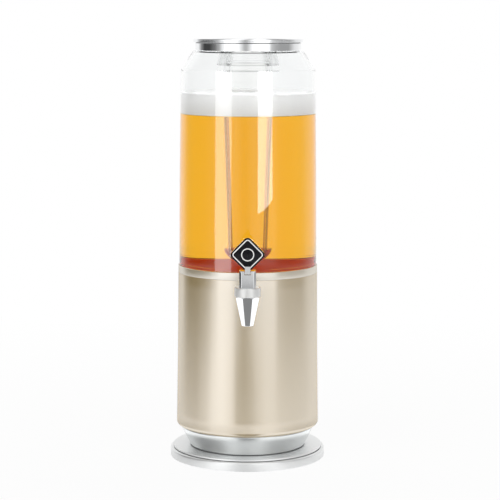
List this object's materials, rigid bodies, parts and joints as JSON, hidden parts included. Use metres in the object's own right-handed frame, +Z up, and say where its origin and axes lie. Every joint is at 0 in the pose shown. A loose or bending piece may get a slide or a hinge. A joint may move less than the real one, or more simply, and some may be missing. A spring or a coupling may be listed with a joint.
{
  "type": "beer tower dispenser",
  "caption": "Clear drink tower on a metal pedestal, with a lift-off chromed lid, a hanging ice tube and a self-closing lever tap on its front.",
  "frame": {"origin": "on the tower's vertical axis, at the surface that it stands on", "axes": "+Z up along the tower's axis, -Y towards the tap and the person who draws a drink, +X to the tap's right as seen from the front"},
  "size_m": [0.1742, 0.213, 0.47],
  "materials": {
    "silver_satin": "satin silver",
    "champagne_satin": "satin champagne gold",
    "champagne_rim": "satin champagne gold, a little lighter",
    "chrome": "mirror chrome",
    "clear_plastic": "clear glossy moulding",
    "black_gloss": "gloss black",
    "silver_inlay": "pale silver inlay",
    "black_rubber": "matt black",
    "silicone": "translucent milky",
    "steel": "plain steel"
  },
  "bodies": {
    "root": {"base_plate": "silver_satin", "base_step": "silver_satin", "foot_ring": "black_rubber", "base_screws": "steel", "foot_cone": "silver_satin", "pedestal_sleeve": "champagne_satin", "pedestal_rim": "champagne_rim", "container": "clear_plastic", "neck_ring": "chrome", "tap_body": "chrome", "tap_bonnet": "chrome", "tap_outer_washer": "black_rubber", "tap_inner_washer": "silicone", "tap_lock_nut": "chrome", "lever_pin": "steel", "bonnet_oring": "black_rubber", "stem_seal": "black_rubber", "valve_spring": "steel"},
    "lid": {"lid_shell": "chrome", "lid_gasket": "silicone", "lid_liner": "clear_plastic"},
    "ice_tube": {"ice_tube_head": "clear_plastic", "ice_tube": "clear_plastic", "ice_tube_gasket": "silicone", "ice_tube_end_cap": "clear_plastic", "ice_tube_seal": "silicone"},
    "tap_lever": {"tap_lever": "chrome", "handle_plate": "black_gloss", "handle_outline": "silver_inlay", "handle_ring": "silver_inlay"},
    "valve": {"valve_stem": "steel", "valve_stem_pin": "steel", "valve_cup": "silicone"}
  },
  "joints": [
    {"name": "lid_lift", "type": "slide", "parent": "root", "child": "lid", "axis": [0, 0, 1], "range_m": [0, 0.25]},
    {"name": "ice_tube_turn", "type": "hinge", "parent": "lid", "child": "ice_tube", "pos_m": [0, 0, 0.447], "axis": [0, 0, 1], "range_deg": [0, 60]},
    {"name": "tap_lever_pull", "type": "hinge", "parent": "root", "child": "tap_lever", "pos_m": [0, -0.117, 0.224], "axis": [1, 0, 0], "range_deg": [0, 35], "stiffness_Nm_per_rad": 0.12, "springref_deg": -14.32},
    {"name": "valve_lift", "type": "slide", "parent": "root", "child": "valve", "axis": [0, 0, 1], "range_m": [0, 0.003], "deforming": ["valve_spring"]}
  ],
  "couplings": [
    {"joint": "valve_lift", "follows": "tap_lever_pull", "m_per_rad": 0.0047}
  ]
}
